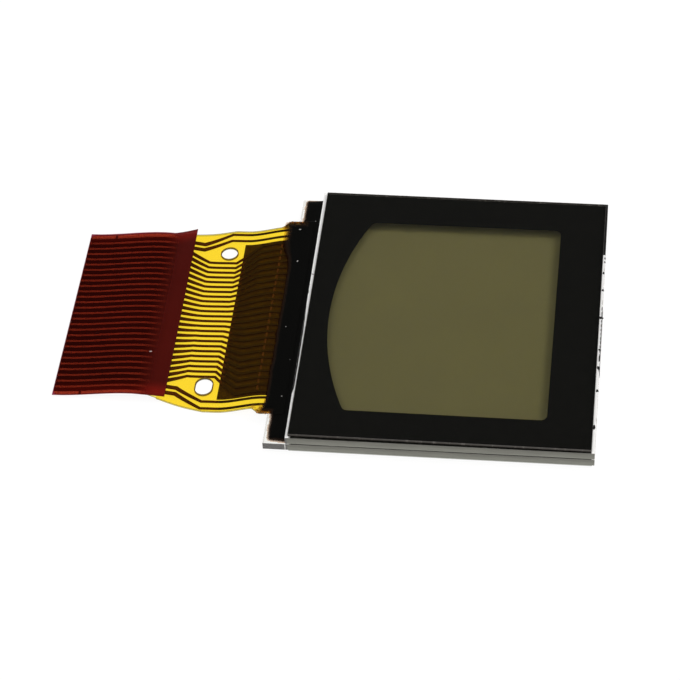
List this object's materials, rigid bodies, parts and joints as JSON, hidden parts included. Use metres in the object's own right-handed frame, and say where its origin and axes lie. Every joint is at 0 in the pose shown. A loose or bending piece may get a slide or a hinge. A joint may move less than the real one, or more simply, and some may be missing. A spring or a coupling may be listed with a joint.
{
  "type": "tft display module",
  "caption": "Small reflective glass display cell with a black masked face and a bowed window, bonded to a short yellow flexible circuit whose contacts sit under a red film.",
  "frame": {"origin": "centre of the cell's rear face, on the surface that the display lies on", "axes": "+Z out of the viewing face, +X from the flexible circuit's free end towards the glass, +Y towards the cell's back edge"},
  "size_m": [0.0337, 0.022, 0.0014],
  "materials": {
    "polariser": "clear grey film, glossy",
    "rear_polariser": "grey film",
    "reflector": "satin aluminised sheet",
    "mask": "black print under film",
    "glass": "clear soda-lime glass, cut edges",
    "seal": "cured epoxy",
    "end_seal": "amber cured resin",
    "liquid_crystal": "clear fluid, olive when off",
    "adhesive": "conductive adhesive film",
    "polyimide": "translucent amber film",
    "coverlay": "translucent amber film",
    "dark_film": "dark brown opaque film",
    "copper": "etched copper seen through film",
    "red_film": "translucent deep red film",
    "resin": "black sealing resin"
  },
  "bodies": {
    "root": {"reflector": "reflector", "rear_polariser": "rear_polariser", "rear_glass": "glass", "seal_ring": "seal", "end_seal": "end_seal", "liquid_crystal": "liquid_crystal", "front_glass": "glass", "black_mask": "mask", "front_polariser": "polariser", "bond_adhesive": "adhesive", "flex_base": "polyimide", "flex_coverlay": "coverlay", "dark_film": "dark_film", "contact_cover_film": "red_film", "sealing_resin": "resin", "position_mark_front": "copper", "position_mark_back": "copper", "conductor_01": "copper", "conductor_02": "copper", "conductor_03": "copper", "conductor_04": "copper", "conductor_05": "copper", "conductor_06": "copper", "conductor_07": "copper", "conductor_08": "copper", "conductor_09": "copper", "conductor_10": "copper", "conductor_11": "copper", "conductor_12": "copper", "conductor_13": "copper", "conductor_14": "copper", "conductor_15": "copper", "conductor_16": "copper", "conductor_17": "copper", "conductor_18": "copper", "conductor_19": "copper", "conductor_20": "copper", "conductor_21": "copper", "conductor_22": "copper", "conductor_23": "copper", "conductor_24": "copper", "conductor_25": "copper", "conductor_26": "copper", "conductor_27": "copper", "conductor_28": "copper"}
  },
  "joints": []
}
